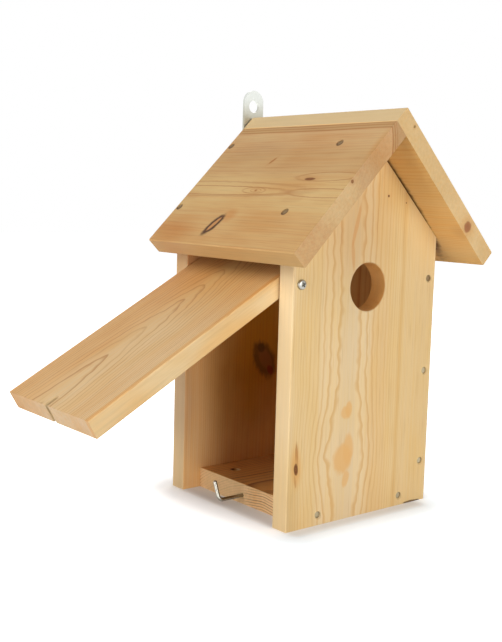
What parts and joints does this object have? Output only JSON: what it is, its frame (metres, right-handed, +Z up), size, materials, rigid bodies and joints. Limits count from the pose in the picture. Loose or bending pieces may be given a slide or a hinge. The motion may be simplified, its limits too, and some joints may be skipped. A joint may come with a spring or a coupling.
{
  "type": "tit nest box",
  "caption": "Pitched-roof nest box of nailed softwood boards with a round entrance, a side that swings up as a door, a screw hook that locks it and a hanging plate.",
  "frame": {"origin": "on the ground, under the middle of the body, on the underside of the floor board", "axes": "+X to the right seen from the front, +Y from the front to the back, +Z up; the entrance faces -Y and the door is on the -X side"},
  "size_m": [0.2893, 0.1587, 0.2875],
  "materials": {
    "front_pine": "planed, bare, pale",
    "back_pine": "planed, bare, pale",
    "side_pine": "planed, bare, pale",
    "door_pine": "planed, bare, pale",
    "floor_pine": "planed, bare",
    "roof_pine_left": "planed, bare, honey brown",
    "roof_pine_right": "planed, bare, pale",
    "zinc_plate": "zinc plated",
    "zinc_hook": "bright zinc plated",
    "screw_steel": "bright zinc plated",
    "nail_steel": "dull steel"
  },
  "bodies": {
    "box": {"front_panel": "front_pine", "back_panel": "back_pine", "right_side_panel": "side_pine", "floor_board": "floor_pine", "roof_board_left": "roof_pine_left", "roof_board_right": "roof_pine_right", "hanging_plate": "zinc_plate", "hanging_plate_screws": "screw_steel", "front_side_nails": "nail_steel", "back_side_nails": "nail_steel", "front_floor_nails": "nail_steel", "back_floor_nails": "nail_steel", "roof_left_nails_front": "nail_steel", "roof_left_nails_back": "nail_steel", "roof_right_nails_front": "nail_steel", "roof_right_nails_back": "nail_steel", "ridge_nails": "nail_steel"},
    "door": {"door_panel": "door_pine", "pivot_screw_front": "screw_steel", "pivot_screw_back": "screw_steel"},
    "hook": {"latch_hook": "zinc_hook"}
  },
  "joints": [
    {"name": "door_swing", "type": "hinge", "parent": "box", "child": "door", "pos_m": [-0.05875, 0, 0.1575], "axis": [0, 1, 0], "range_deg": [-60.5, 44]},
    {"name": "hook_turn", "type": "hinge", "parent": "box", "child": "hook", "pos_m": [-0.05, 0, 0.006], "axis": [-1, 0, 0], "range_deg": [-24, 156]}
  ]
}
